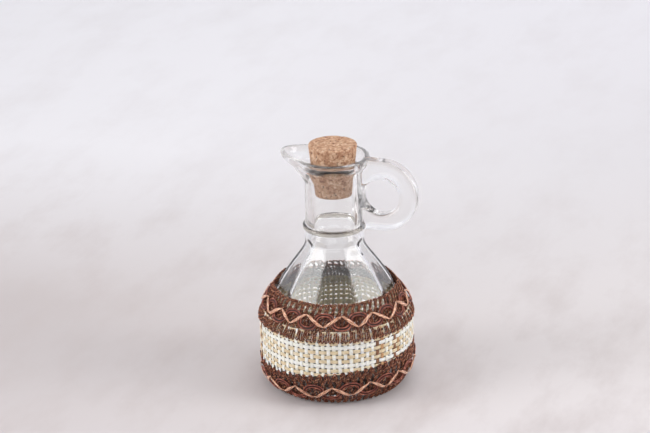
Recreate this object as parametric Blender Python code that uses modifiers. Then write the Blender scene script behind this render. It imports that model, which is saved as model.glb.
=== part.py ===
"""Glass cruet with a cork stopper, a woven straw band and two braid trims.

The jug is one moulding: body, ten-sided shoulder, collar, neck, pouring lip and ring handle.
Units are metres and +Z is up. The origin is the middle of the base, on the neck's axis.
The handle is on the +X side, and the lip pours towards -X.
"""

import math

import bmesh
import bpy
import numpy as np
from mathutils import Vector
from mathutils.geometry import interpolate_bezier

# Jug body, outside
BASE_RADIUS = 0.0300  # flat disc that the jug stands on
BODY_RADIUS = 0.0410  # straight wall behind the straw band
HEEL_HEIGHT = 0.0190  # height over which the base rounds out to the wall
HEEL_POWER = 2.2  # 2 is an ellipse, and more is squarer
WALL_TOP = 0.0360  # height where the shoulder starts to turn in
SHOULDER_RADIUS = 0.0315  # corner radius of the shoulder at its middle
SHOULDER_LOWER_RISE = 0.0210  # from the wall's top to the shoulder's middle
SHOULDER_UPPER_RISE = 0.0250  # from the shoulder's middle to the neck's root
SHOULDER_SLOPE = 0.54  # radius lost for each metre of height at the middle
HIP_FULLNESS = 0.29  # curve handles, as shares of the rise that each one bends
LOWER_STRAIGHTNESS = 0.43
UPPER_STRAIGHTNESS = 0.60
ROOT_FULLNESS = 0.20
ROOT_RADIUS = 0.0161  # neck between the shoulder and the collar
ROOT_LENGTH = 0.0070
FACETS = 10  # flats round the shoulder, one of them facing the handle
FACET_CORNER = 1.012  # sharp corner radius over the rounded corner radius
FACET_CLEAR = 1.06  # corner factor at which a flat is clear of the rounded body
FACET_RUN_OUT = 0.0050  # height over which the flats run out above the straw band
FACET_END = 0.0024  # height over which they run out at the neck's root

# Collar, neck and lip, outside
COLLAR_RADIUS = 0.0172
COLLAR_THICKNESS = 0.0025
COLLAR_BEAD = 0.0006  # rounding of its edges
NECK_RADIUS = 0.0155
NECK_LENGTH = 0.0315
NECK_FOOT = 0.0080  # height over which the neck settles to its radius
LIP_STEP = 0.0003  # small ridge where the flare starts
FLARE_LENGTH = 0.0073
FLARE_START = (0.45, 0.25)  # first curve handle, as shares of the widening and of the length
FLARE_UPRIGHT = 0.50  # last curve handle, as a share of the length
RIM_RADIUS = 0.0198
RIM_ROUNDING = 0.0008
SPOUT_REACH = 0.0095  # how far the lip is drawn out past the rim's circle
SPOUT_RISE = 0.0015
SPOUT_LENGTH = 0.0143  # how far below the rim the drawing out starts
SPOUT_HALF_ANGLE = math.radians(28)
SPOUT_POWER = 2.2  # how soon the drawing out dies away below the rim

# Jug, inside
BORE_RADIUS = 0.0120
WALL_THICKNESS = 0.0030
LIP_THICKNESS = 0.0023
FLOOR_THICKNESS = 0.0070
FLOOR_RADIUS = 0.0290
CAVITY_HEEL_RISE = 0.0080
CAVITY_HEEL_FULLNESS = 0.3  # curve handle, as a share of that rise
MOUTH_START = (0.5, 0.2)  # the mouth's curve handles, as the flare's
MOUTH_UPRIGHT = 0.5
MOUTH_CLEARANCE = 0.0050  # how far the cavity's tool runs past the rim

# Ring handle
HANDLE_BAND = 0.0101  # radial width of the ring
HANDLE_THICKNESS = 0.0086
HANDLE_ROUNDING = 0.0036
HANDLE_ROOT = 0.0018  # glass between the finger hole and the neck
HANDLE_TOP_DROP = 0.0002  # below the rim
HANDLE_BOTTOM_RISE = 0.0011  # above the collar's lower edge
FINGER_HOLE_DROP = 0.0008  # the hole sits a little low in the ring

# Cork
CORK_CLEARANCE = 0.0003
CORK_INSERTED = 0.0145
CORK_PROUD = 0.0138
CORK_TAPER = 0.106  # radius gained for each metre of height
CORK_EDGE = 0.0006

# Straw band and trims. Trims are measured along the glass, up from the base's edge.
GLUE_GAP = 0.0003
BAND_BOTTOM = 0.0192  # height of the band's lower edge, half way round
BAND_WIDTH = 0.0190
BAND_THICKNESS = 0.0013
LOWER_TRIM_START = 0.0048  # glass left bare above the base's edge
LOWER_TRIM_THICKNESS = 0.0013
LOWER_TRIM_TILT = 0.0042  # the lower trim's upper edge climbs towards the handle
LOWER_TRIM_DROP = 0.0032  # the most that this edge comes down on the spout's side
LOWER_PATTERN_TILT = 0.70  # climb of its pattern, as a share of that edge's climb
LOWER_TRIM_TILT_ANGLE = math.radians(10)
UPPER_TRIM_WIDTH = 0.0200
UPPER_TRIM_THICKNESS = 0.0020
TRIM_EDGE = 0.0004  # easing of a trim's long edges
SCROLLS = 13  # scrolls of cord and peaks of ribbon round each trim
CORD_DIAMETER = 0.0008
CORD_SPACING = 0.0012
CORD_SWING = 0.0038
CORD_ROUNDNESS = 0.45  # 0 is a plain cosine, 0.5 has upright flanks
CORD_LIFT = 0.0003
RIBBON_WIDTH = 0.0018
RIBBON_THICKNESS = 0.0003
RIBBON_SWING = 0.0031
RIBBON_LIFT = 0.0003
RIBBON_STEP = 0.3  # share of a leg after which the ribbon is up over the cords
UPPER_PATTERN_ANGLE = math.radians(14.0)  # where one ribbon peak of the upper trim is
LOWER_PATTERN_ANGLE = math.radians(5.5)
UPPER_PATTERN_SHIFT = -0.0001  # pattern's middle above the trim's middle
LOWER_PATTERN_SHIFT = 0.0003

# Fineness of the model
TURN_STEPS = 40
CURVE_POINTS = 7
FACE_POINTS = 7
CORD_POINTS = 10
CORD_SIDES_RESOLUTION = 1
HANDLE_POINTS = 20
HOLE_POINTS = 24
CORK_SIDES = 48
LIP_POINTS = 5
WELD = 0.00001
SHARP_ANGLE = math.radians(35)

SHOULDER_MIDDLE = WALL_TOP + SHOULDER_LOWER_RISE
ROOT_HEIGHT = SHOULDER_MIDDLE + SHOULDER_UPPER_RISE
COLLAR_BOTTOM = ROOT_HEIGHT + ROOT_LENGTH
COLLAR_TOP = COLLAR_BOTTOM + COLLAR_THICKNESS
FLARE_BOTTOM = COLLAR_TOP + NECK_LENGTH
RIM_HEIGHT = FLARE_BOTTOM + FLARE_LENGTH
SPOUT_BOTTOM = RIM_HEIGHT - SPOUT_LENGTH
BAND_TOP = BAND_BOTTOM + BAND_WIDTH
FACET_ANGLE = 2 * math.pi / FACETS

COLOURS = {
    "glass": ((0.86, 0.90, 0.89, 1.0), 0.03, 0.0),
    "cork": ((0.62, 0.40, 0.25, 1.0), 0.85, 0.0),
    "straw": ((0.80, 0.73, 0.55, 1.0), 0.55, 0.0),
    "braid": ((0.16, 0.07, 0.045, 1.0), 0.80, 0.0),
    "gimp": ((0.20, 0.035, 0.02, 1.0), 0.60, 0.0),
    "ribbon": ((0.78, 0.42, 0.27, 1.0), 0.40, 0.0),
}


def make_collection(name):
    """A new collection linked to the scene."""
    made = bpy.data.collections.new(name)
    bpy.context.scene.collection.children.link(made)
    return made


def make_material(name):
    """A Principled material with the named piece's colour, roughness and metallic value."""
    colour, roughness, metallic = COLOURS[name]
    material = bpy.data.materials.new(name)
    material.use_nodes = True
    shader = material.node_tree.nodes["Principled BSDF"]
    shader.inputs["Base Color"].default_value = colour
    shader.inputs["Roughness"].default_value = roughness
    shader.inputs["Metallic"].default_value = metallic
    if name == "glass":
        shader.inputs["Transmission Weight"].default_value = 1.0
    material.diffuse_color = colour
    return material


def link_object(name, data, collection):
    """A new object made of that data, in that collection."""
    made = bpy.data.objects.new(name, data)
    collection.objects.link(made)
    return made


def line_mesh(name, points):
    """A mesh of one polyline in the XZ plane, for a Screw modifier. Points are (radius, height)."""
    edges = [(i, i + 1) for i in range(len(points) - 1)]
    mesh = bpy.data.meshes.new(name)
    mesh.from_pydata([(radius, 0.0, height) for radius, height in points], edges, [])
    return mesh


def add_screw(piece, steps):
    """Turns the piece's profile once round Z."""
    screw = piece.modifiers.new("turn", "SCREW")
    screw.axis = "Z"
    screw.angle = 2 * math.pi
    screw.steps = steps
    screw.render_steps = steps
    screw.use_merge_vertices = True
    screw.merge_threshold = WELD
    return screw


def turned(name, points, collection, steps=TURN_STEPS):
    """A solid turned from a profile that runs down its outer side."""
    piece = link_object(name, line_mesh(name, points), collection)
    add_screw(piece, steps)
    return piece


def bake(piece):
    """Replaces the piece by a plain mesh of its evaluated shape, with loose caps welded."""
    bpy.context.view_layer.update()
    graph = bpy.context.evaluated_depsgraph_get()
    mesh = bpy.data.meshes.new_from_object(piece.evaluated_get(graph))
    name, matrix, collection = piece.name, piece.matrix_world.copy(), piece.users_collection[0]
    bpy.data.objects.remove(piece)
    shape = bmesh.new()
    shape.from_mesh(mesh)
    bmesh.ops.remove_doubles(shape, verts=shape.verts, dist=WELD)
    shape.to_mesh(mesh)
    shape.free()
    made = link_object(name, mesh, collection)
    made.matrix_world = matrix
    return made


def add_boolean(piece, operation, other):
    """A Boolean modifier with the exact solver."""
    cut = piece.modifiers.new(operation.lower(), "BOOLEAN")
    cut.operation = operation
    cut.solver = "EXACT"
    cut.object = other


def hide_tool(piece):
    """Marks a cutter, so that it shows as wire and isn't part of the model."""
    piece.hide_render = True
    piece.display_type = "WIRE"


def bezier(start, start_handle, end_handle, end, count=CURVE_POINTS):
    """Points of a Bezier stretch, each (radius, height)."""
    corners = [Vector((radius, height, 0.0)) for radius, height in (start, start_handle, end_handle, end)]
    return [(point.x, point.y) for point in interpolate_bezier(*corners, count)]


def body_profile():
    """The jug's outside from the base's edge up to the neck's root, each (radius, height)."""
    heel = []
    for i in range(CURVE_POINTS):
        turn = 0.5 * math.pi * i / (CURVE_POINTS - 1)
        across = math.sin(turn) ** (2 / HEEL_POWER)
        up = 1 - math.cos(turn) ** (2 / HEEL_POWER)
        heel.append((BASE_RADIUS + (BODY_RADIUS - BASE_RADIUS) * across, HEEL_HEIGHT * up))
    lower = HIP_FULLNESS * SHOULDER_LOWER_RISE
    tangent = LOWER_STRAIGHTNESS * SHOULDER_LOWER_RISE
    hip = bezier(
        (BODY_RADIUS, WALL_TOP),
        (BODY_RADIUS, WALL_TOP + lower),
        (SHOULDER_RADIUS + SHOULDER_SLOPE * tangent, SHOULDER_MIDDLE - tangent),
        (SHOULDER_RADIUS, SHOULDER_MIDDLE),
    )
    reach = UPPER_STRAIGHTNESS * SHOULDER_UPPER_RISE
    upper = ROOT_FULLNESS * SHOULDER_UPPER_RISE
    root = bezier(
        (SHOULDER_RADIUS, SHOULDER_MIDDLE),
        (SHOULDER_RADIUS - SHOULDER_SLOPE * reach, SHOULDER_MIDDLE + reach),
        (ROOT_RADIUS, ROOT_HEIGHT - upper),
        (ROOT_RADIUS, ROOT_HEIGHT),
    )
    return heel + hip + root[1:]


BODY = body_profile()
BODY_HEIGHTS = [height for radius, height in BODY]
BODY_RADII = [radius for radius, height in BODY]


def body_radius(height):
    """The jug's corner radius at a height below the collar."""
    return float(np.interp(height, BODY_HEIGHTS, BODY_RADII))


def neck_profile():
    """The jug's outside from the neck's root up to the rim."""
    bead = COLLAR_BEAD
    flare = bezier(
        (NECK_RADIUS + LIP_STEP, FLARE_BOTTOM),
        (NECK_RADIUS + FLARE_START[0] * (RIM_RADIUS - NECK_RADIUS), FLARE_BOTTOM + FLARE_START[1] * FLARE_LENGTH),
        (RIM_RADIUS, RIM_HEIGHT - FLARE_UPRIGHT * FLARE_LENGTH),
        (RIM_RADIUS, RIM_HEIGHT - RIM_ROUNDING),
        LIP_POINTS,
    )
    return [
        (ROOT_RADIUS, COLLAR_BOTTOM - bead),
        (COLLAR_RADIUS - bead, COLLAR_BOTTOM),
        (COLLAR_RADIUS, COLLAR_BOTTOM + bead),
        (COLLAR_RADIUS, COLLAR_TOP - bead),
        (COLLAR_RADIUS - bead, COLLAR_TOP),
        (NECK_RADIUS + LIP_STEP, COLLAR_TOP + bead),
        (NECK_RADIUS, COLLAR_TOP + NECK_FOOT),
        (NECK_RADIUS, SPOUT_BOTTOM),
        (NECK_RADIUS, 0.5 * (SPOUT_BOTTOM + FLARE_BOTTOM)),
        (NECK_RADIUS, FLARE_BOTTOM - LIP_STEP),
        *flare,
        (RIM_RADIUS - RIM_ROUNDING, RIM_HEIGHT),
    ]


def draw_spout(piece):
    """Draws the lip of a turned shape out towards -X, as a spout."""
    for vertex in piece.data.vertices:
        place = vertex.co
        depth = (RIM_HEIGHT - place.z) / SPOUT_LENGTH
        radius = math.hypot(place.x, place.y)
        if depth >= 1 or radius < WELD:
            continue
        angle = math.atan2(place.y, -place.x)
        share = math.exp(-((angle / SPOUT_HALF_ANGLE) ** 2))
        drawn = 1 - max(depth, 0.0) ** SPOUT_POWER
        reach = SPOUT_REACH * share * drawn * min(radius / BORE_RADIUS, 1.0)
        place.x += place.x / radius * reach
        place.y += place.y / radius * reach
        place.z += SPOUT_RISE * share * drawn * min(radius / BORE_RADIUS, 1.0)


def facet_tool(name, offset, collection):
    """A ten-sided solid whose flats cut the shoulder, grown by offset. It is wide above and below."""
    wide = 2 * BODY_RADIUS
    low = BAND_TOP
    clear = ROOT_RADIUS * FACET_CLEAR + offset
    points = [(0.0, RIM_HEIGHT + BODY_RADIUS), (wide, RIM_HEIGHT + BODY_RADIUS)]
    points += [(wide, COLLAR_BOTTOM), (clear, ROOT_HEIGHT + FACET_END)]
    for height in sorted({low, *(rise for rise in BODY_HEIGHTS if low < rise)}, reverse=True):
        run_out = 1 - min((height - low) / FACET_RUN_OUT, 1.0)
        corner = FACET_CORNER + run_out * (FACET_CLEAR - FACET_CORNER)
        points.append((body_radius(height) * corner + offset, height))
    points += [(wide, low - 0.5 * FACET_RUN_OUT), (wide, -BODY_RADIUS), (0.0, -BODY_RADIUS)]
    tool = turned(name, points, collection, steps=FACETS)
    tool.rotation_euler.z = FACET_ANGLE / 2
    tool = bake(tool)
    hide_tool(tool)
    return tool


def cavity_tool(collection):
    """The inside of the jug, from the floor up past the mouth."""
    inner = BODY_RADIUS - WALL_THICKNESS
    heel = bezier(
        (FLOOR_RADIUS, FLOOR_THICKNESS),
        (inner, FLOOR_THICKNESS),
        (inner, FLOOR_THICKNESS + CAVITY_HEEL_FULLNESS * CAVITY_HEEL_RISE),
        (inner, FLOOR_THICKNESS + CAVITY_HEEL_RISE),
        LIP_POINTS,
    )
    flat = math.cos(FACET_ANGLE / 2) * FACET_CORNER
    shoulder = []
    for radius, height in BODY:
        if WALL_TOP < height < ROOT_HEIGHT:
            cut = radius * flat if height > BAND_TOP + FACET_RUN_OUT else radius
            shoulder.append((max(cut - WALL_THICKNESS, BORE_RADIUS), height))
    mouth_radius = RIM_RADIUS - LIP_THICKNESS
    mouth = bezier(
        (BORE_RADIUS, FLARE_BOTTOM),
        (BORE_RADIUS + MOUTH_START[0] * (mouth_radius - BORE_RADIUS), FLARE_BOTTOM + MOUTH_START[1] * FLARE_LENGTH),
        (mouth_radius, RIM_HEIGHT - MOUTH_UPRIGHT * FLARE_LENGTH),
        (mouth_radius, RIM_HEIGHT - RIM_ROUNDING),
        LIP_POINTS,
    )
    upward = [(0.0, FLOOR_THICKNESS), *heel, (inner, WALL_TOP), *shoulder]
    upward += [
        (BORE_RADIUS, COLLAR_BOTTOM),
        (BORE_RADIUS, SPOUT_BOTTOM),
        (BORE_RADIUS, 0.5 * (SPOUT_BOTTOM + FLARE_BOTTOM)),
        *mouth,
        (mouth_radius + RIM_ROUNDING, RIM_HEIGHT),
        (mouth_radius + RIM_ROUNDING, RIM_HEIGHT + MOUTH_CLEARANCE),
        (0.0, RIM_HEIGHT + MOUTH_CLEARANCE),
    ]
    tool = bake(turned("cavity_tool", upward[::-1], collection))
    draw_spout(tool)
    hide_tool(tool)
    return tool


def add_outline(curve, points):
    """A closed straight-sided outline on a flat curve."""
    spline = curve.splines.new("POLY")
    spline.points.add(len(points) - 1)
    for spline_point, (across, up) in zip(spline.points, points):
        spline_point.co = (across, up, 0.0, 1.0)
    spline.use_cyclic_u = True


def arc(centre, radius, start, end, count):
    """Points along an arc, angles in degrees, both ends included."""
    points = []
    for i in range(count + 1):
        angle = math.radians(start + (end - start) * i / count)
        points.append((centre[0] + radius * math.cos(angle), centre[1] + radius * math.sin(angle)))
    return points


def handle_blank(collection):
    """The ring handle, run through the neck's wall so that the cavity trims its ends."""
    top = RIM_HEIGHT - HANDLE_TOP_DROP
    bottom = COLLAR_BOTTOM + HANDLE_BOTTOM_RISE
    outer_radius = 0.5 * (top - bottom)
    hole_radius = outer_radius - HANDLE_BAND
    middle_height = 0.5 * (top + bottom)
    middle = (NECK_RADIUS + HANDLE_ROOT + hole_radius, middle_height)
    inner_end = BORE_RADIUS - HANDLE_ROUNDING
    outline = [(inner_end, top), *arc(middle, outer_radius, 90, -90, HANDLE_POINTS), (inner_end, bottom)]
    hole = arc((middle[0], middle_height - FINGER_HOLE_DROP), hole_radius, 0, 360, HOLE_POINTS)[:-1]
    curve = bpy.data.curves.new("handle_outline", "CURVE")
    curve.dimensions = "2D"
    curve.fill_mode = "BOTH"
    curve.extrude = 0.5 * HANDLE_THICKNESS - HANDLE_ROUNDING
    curve.bevel_depth = HANDLE_ROUNDING
    curve.bevel_resolution = 1
    curve.offset = -HANDLE_ROUNDING
    add_outline(curve, outline)
    add_outline(curve, hole)
    blank = link_object("handle_blank", curve, collection)
    blank.rotation_euler.x = math.pi / 2
    blank = bake(blank)
    hide_tool(blank)
    return blank


def make_jug(parts, tools):
    """The whole glass moulding, hollow and open at the mouth."""
    upward = [(0.0, 0.0), *BODY, *neck_profile(), (0.0, RIM_HEIGHT)]
    jug = bake(turned("glass_jug", upward[::-1], parts))
    draw_spout(jug)
    add_boolean(jug, "INTERSECT", facet_tool("facet_tool", 0.0, tools))
    add_boolean(jug, "UNION", handle_blank(tools))
    add_boolean(jug, "DIFFERENCE", cavity_tool(tools))
    return jug


def make_cork(parts):
    """The tapered stopper, seated where the neck's bore meets the flare."""
    seat_radius = BORE_RADIUS - CORK_CLEARANCE
    length = CORK_INSERTED + CORK_PROUD
    bpy.ops.mesh.primitive_cone_add(
        vertices=CORK_SIDES,
        radius1=seat_radius - CORK_TAPER * CORK_INSERTED,
        radius2=seat_radius + CORK_TAPER * CORK_PROUD,
        depth=length,
        end_fill_type="NGON",
        location=(0, 0, FLARE_BOTTOM - CORK_INSERTED + 0.5 * length),
    )
    cork = bpy.context.object
    cork.name = "cork_stopper"
    for collection in list(cork.users_collection):
        collection.objects.unlink(cork)
    parts.objects.link(cork)
    edge = cork.modifiers.new("edge", "BEVEL")
    edge.width = CORK_EDGE
    edge.segments = 2
    edge.limit_method = "ANGLE"
    return cork


def lofted_ring(name, section, collection):
    """A closed ring lofted through one section for each step of the turn. section(angle) gives (radius, height)."""
    shape = bmesh.new()
    loops = []
    for i in range(TURN_STEPS):
        angle = 2 * math.pi * i / TURN_STEPS
        points = section(angle)
        loop = [(radius * math.cos(angle), radius * math.sin(angle), height) for radius, height in points]
        loops.append([shape.verts.new(point) for point in loop])
    for near, far in zip(loops, loops[1:] + loops[:1]):
        for i in range(len(near)):
            shape.faces.new((near[i - 1], far[i - 1], far[i], near[i]))
    bmesh.ops.recalc_face_normals(shape, faces=shape.faces)
    mesh = bpy.data.meshes.new(name)
    shape.to_mesh(mesh)
    shape.free()
    return link_object(name, mesh, collection)


class Glass:
    """The jug's outer side as a line, to place what is glued on it by arc length and by distance off it."""

    def __init__(self, profile):
        self.points = np.array(profile)
        steps = np.diff(self.points, axis=0)
        lengths = np.hypot(steps[:, 0], steps[:, 1])
        self.arc = np.concatenate([[0.0], np.cumsum(lengths)])
        across = np.stack([steps[:, 1], -steps[:, 0]], axis=1) / lengths[:, None]
        corners = np.concatenate([across[:1], across[:-1] + across[1:], across[-1:]])
        self.normals = corners / np.hypot(corners[:, 0], corners[:, 1])[:, None]

    def arc_at(self, height):
        """Arc length from the base's edge to a height."""
        return float(np.interp(height, self.points[:, 1], self.arc))

    def place(self, arc, offset):
        """(radius, height) at an arc length, moved off the glass by offset."""
        values = [np.interp(arc, self.arc, column) for column in (*self.points.T, *self.normals.T)]
        return float(values[0] + offset * values[2]), float(values[1] + offset * values[3])


class Trim:
    """A braid tape on the glass. Its upper edge and its pattern can climb round the jug."""

    def __init__(self, glass, start, end, thickness, tilt, pattern_shift):
        self.glass = glass
        self.start = start
        self.end = end
        self.face = GLUE_GAP + thickness
        self.tilt = tilt
        self.pattern_shift = pattern_shift

    def climb(self, angle):
        """How far the upper edge has climbed at an angle."""
        return max(self.tilt * math.cos(angle - LOWER_TRIM_TILT_ANGLE), -LOWER_TRIM_DROP)

    def edges(self, angle):
        """Arc lengths of the lower and the upper edge."""
        return self.start, self.end + self.climb(angle)

    def section(self, angle):
        """A closed section whose inner side is sunk in the glass, to be cut back from it."""
        start, end = self.edges(angle)
        depth = -2 * self.face
        points = [self.glass.place(start, depth)]
        for i in range(FACE_POINTS):
            eased = TRIM_EDGE if i in (0, FACE_POINTS - 1) else 0.0
            points.append(self.glass.place(start + (end - start) * i / (FACE_POINTS - 1), self.face - eased))
        return [*points, self.glass.place(end, depth)]

    def on_face(self, angle, up, lift):
        """A point on the pattern: up from its middle along the face, and lifted off the braid."""
        middle = 0.5 * (self.start + self.end) + self.pattern_shift + LOWER_PATTERN_TILT * self.climb(angle)
        radius, height = self.glass.place(middle + up, self.face + lift)
        return Vector((radius * math.cos(angle), radius * math.sin(angle), height))


def make_core(tools):
    """The jug's outside grown by the glue gap, which cuts the inside of both braids."""
    glass = Glass(BODY)
    grown = [glass.place(arc, GLUE_GAP) for arc in glass.arc]
    outline = [(0.0, -GLUE_GAP), *grown, (0.0, ROOT_HEIGHT)]
    core = turned("core_tool", outline[::-1], tools)
    add_boolean(core, "INTERSECT", facet_tool("core_facet_tool", GLUE_GAP, tools))
    hide_tool(core)
    return core


def make_braid(name, trim, core, parts):
    """The body of a trim: a soft tape of yarn loops."""
    braid = lofted_ring(name, trim.section, parts)
    add_boolean(braid, "DIFFERENCE", core)
    return braid


def make_band(lower_trim, glass, parts):
    """The woven straw band round the wall. Its lower edge follows the slant of the lower trim."""
    inner = BODY_RADIUS + GLUE_GAP
    outer = inner + BAND_THICKNESS

    def section(angle):
        bottom = glass.place(lower_trim.edges(angle)[1], lower_trim.face)[1] + GLUE_GAP
        return [(inner, bottom), (outer, bottom), (outer, BAND_TOP), (inner, BAND_TOP)]

    return lofted_ring("woven_band", section, parts)


def make_scroll(name, trim, pattern_angle, side, parts):
    """One gimp cord that waves round a trim. side is +1 for the upper strand and -1 for the lower."""
    lift = CORD_LIFT + 0.5 * CORD_DIAMETER
    radius = trim.on_face(0.0, 0.0, lift).x
    curve = bpy.data.curves.new(name, "CURVE")
    curve.dimensions = "3D"
    curve.bevel_depth = 0.5 * CORD_DIAMETER
    curve.bevel_resolution = CORD_SIDES_RESOLUTION
    spline = curve.splines.new("POLY")
    spline.points.add(SCROLLS * CORD_POINTS - 1)
    for i, spline_point in enumerate(spline.points):
        turn = 2 * math.pi * i / CORD_POINTS
        run = radius * (1 + 2 * CORD_ROUNDNESS * math.cos(2 * turn)) / SCROLLS
        rise = CORD_SWING * math.sin(turn)
        shift = 0.5 * side * CORD_SPACING / math.hypot(run, rise)
        angle = pattern_angle + (turn + CORD_ROUNDNESS * math.sin(2 * turn)) / SCROLLS
        up = -CORD_SWING * math.cos(turn)
        point = trim.on_face(angle - shift * rise / radius, up + shift * run, lift)
        spline_point.co = (*point, 1.0)
    spline.use_cyclic_u = True
    return bake(link_object(name, curve, parts))


def make_ribbon(name, trim, pattern_angle, parts):
    """The satin ribbon that zigzags over the scroll cords. It steps over them half way along each leg."""
    over_cords = CORD_LIFT + CORD_DIAMETER + RIBBON_LIFT
    shape = bmesh.new()
    rails = []
    for leg in range(2 * SCROLLS):
        for share, lift in ((0.0, RIBBON_LIFT), (RIBBON_STEP, over_cords), (1 - RIBBON_STEP, over_cords)):
            place = leg + share
            angle = pattern_angle + math.pi * place / SCROLLS
            up = RIBBON_SWING * (1 - 2 * share) * (-1) ** leg
            rails.append(
                [shape.verts.new(trim.on_face(angle, up + side * RIBBON_WIDTH / 2, lift)) for side in (-1, 1)]
            )
    for near, far in zip(rails, rails[1:] + rails[:1]):
        shape.faces.new((near[0], far[0], far[1], near[1]))
    mesh = bpy.data.meshes.new(name)
    shape.to_mesh(mesh)
    shape.free()
    ribbon = link_object(name, mesh, parts)
    body = ribbon.modifiers.new("thickness", "SOLIDIFY")
    body.thickness = RIBBON_THICKNESS
    body.offset = 1.0
    return ribbon


def finish_piece(piece, material):
    """Gives a piece its material and smooth shading with sharp edges kept."""
    piece.data.materials.clear()
    piece.data.materials.append(material)
    piece.data.shade_smooth()
    piece.data.set_sharp_from_angle(angle=SHARP_ANGLE)


def main():
    for piece in list(bpy.data.objects):
        bpy.data.objects.remove(piece)
    parts = make_collection("glass_cruet")
    tools = make_collection("cutters")
    materials = {name: make_material(name) for name in COLOURS}
    finish_piece(make_jug(parts, tools), materials["glass"])
    finish_piece(make_cork(parts), materials["cork"])
    glass = Glass(BODY)
    band_start = glass.arc_at(BAND_BOTTOM)
    band_end = glass.arc_at(BAND_TOP)
    lower = Trim(
        glass,
        LOWER_TRIM_START,
        band_start - GLUE_GAP,
        LOWER_TRIM_THICKNESS,
        LOWER_TRIM_TILT,
        LOWER_PATTERN_SHIFT,
    )
    upper_start = band_end + GLUE_GAP
    upper_end = upper_start + UPPER_TRIM_WIDTH
    upper = Trim(glass, upper_start, upper_end, UPPER_TRIM_THICKNESS, 0.0, UPPER_PATTERN_SHIFT)
    finish_piece(make_band(lower, glass, parts), materials["straw"])
    core = make_core(tools)
    for name, trim, pattern_angle in (("upper", upper, UPPER_PATTERN_ANGLE), ("lower", lower, LOWER_PATTERN_ANGLE)):
        finish_piece(make_braid(f"{name}_braid", trim, core, parts), materials["braid"])
        for strand, side in (("a", 1), ("b", -1)):
            cord = make_scroll(f"{name}_scroll_cord_{strand}", trim, pattern_angle, side, parts)
            finish_piece(cord, materials["gimp"])
        finish_piece(make_ribbon(f"{name}_ribbon", trim, pattern_angle, parts), materials["ribbon"])


main()
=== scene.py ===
"""The looks of the glass cruet: moulded glass, cork, woven straw and two gimp braids.

Units are metres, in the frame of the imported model. +Z is up, the handle is on +X and the lip on -X.
"""

import math

import bpy
import numpy as np
from mathutils import Matrix, Vector


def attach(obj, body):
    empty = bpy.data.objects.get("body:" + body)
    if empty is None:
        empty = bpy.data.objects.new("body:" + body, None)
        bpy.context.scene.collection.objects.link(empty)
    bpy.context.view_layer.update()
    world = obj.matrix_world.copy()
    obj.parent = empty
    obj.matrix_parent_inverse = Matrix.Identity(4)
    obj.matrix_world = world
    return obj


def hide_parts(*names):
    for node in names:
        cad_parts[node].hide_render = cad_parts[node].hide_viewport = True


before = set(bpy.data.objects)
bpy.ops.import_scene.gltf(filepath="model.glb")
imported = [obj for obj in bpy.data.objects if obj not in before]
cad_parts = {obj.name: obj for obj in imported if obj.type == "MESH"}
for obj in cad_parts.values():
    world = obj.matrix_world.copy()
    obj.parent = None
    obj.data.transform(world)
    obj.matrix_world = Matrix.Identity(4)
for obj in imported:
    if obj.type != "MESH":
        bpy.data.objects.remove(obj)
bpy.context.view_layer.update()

RANDOM = np.random.default_rng(41)
TURN = 2 * math.pi

# The jug's outside
BASE_RADIUS = 0.0300
BODY_RADIUS = 0.0410
HEEL_HEIGHT = 0.0190
HEEL_POWER = 2.2
WALL_TOP = 0.0360
SHOULDER_RADIUS = 0.0315
SHOULDER_MIDDLE = 0.0570
SHOULDER_LOWER_RISE = 0.0210
SHOULDER_UPPER_RISE = 0.0250
SHOULDER_SLOPE = 0.54
HIP_FULLNESS = 0.29
LOWER_STRAIGHTNESS = 0.43
UPPER_STRAIGHTNESS = 0.60
ROOT_FULLNESS = 0.20
ROOT_RADIUS = 0.0161
ROOT_HEIGHT = 0.0820
FACETS = 10
FACET_FLAT = math.cos(math.pi / FACETS)
FACET_CORNER = 1.012
FACET_CLEAR = 1.06
FACET_RUN_OUT = 0.0050
FACET_END = 0.0024
FACET_EDGE = 0.0005
COLLAR_RADIUS = 0.0172
COLLAR_MIDDLE = 0.09025
COLLAR_HALF = 0.00125
COLLAR_BEAD = 0.0008
COLLAR_FILLET = 0.0004
NECK_RADIUS = 0.0155
NECK_FOOT_RISE = 0.0018
NECK_FOOT_TOP = 0.0995
LIP_STEP = 0.0003
FLARE_BOTTOM = 0.1230
FLARE_LENGTH = 0.0073
RIM_RADIUS = 0.0198
RIM_HEIGHT = 0.1303
RIM_ROUNDING = 0.0008
SPOUT_REACH = 0.0095
SPOUT_RISE = 0.0015
SPOUT_LENGTH = 0.0143
SPOUT_HALF_ANGLE = math.radians(28)
SPOUT_POWER = 2.2

# The jug's inside
BORE_RADIUS = 0.0120
WALL_THICKNESS = 0.0030
MOUTH_RADIUS = 0.0175
MOUTH_EDGE = 0.0007
FUNNEL_DEPTH = 0.0062
FLOOR_HEIGHT = 0.0070
FLOOR_RADIUS = 0.0290
CAVITY_HEEL_TOP = 0.0150
FLOOR_RIPPLE = 0.00020
FLOOR_RIPPLE_PITCH = 0.0056
FLOOR_RIPPLE_REACH = 0.032
WALL_WAVER = 0.00007
INNER_CORNER = 0.0004

# The ring handle
HANDLE_MIDDLE = (0.0272, 0.1101)
HANDLE_RADIUS = 0.0200
HOLE_RADIUS = 0.0099
HOLE_HEIGHT = 0.1093
HANDLE_HALF_THICKNESS = 0.0043
HANDLE_ROUNDING = 0.0025
HANDLE_INNER_END = 0.0084
HANDLE_FILLET = 0.0016

GRID_STEP = 0.00085
GRID_MARGIN = 0.0026
GLASS_TINTS = ((0.984, 0.989, 0.982, 1.0), (0.994, 0.996, 0.993, 1.0))

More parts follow.
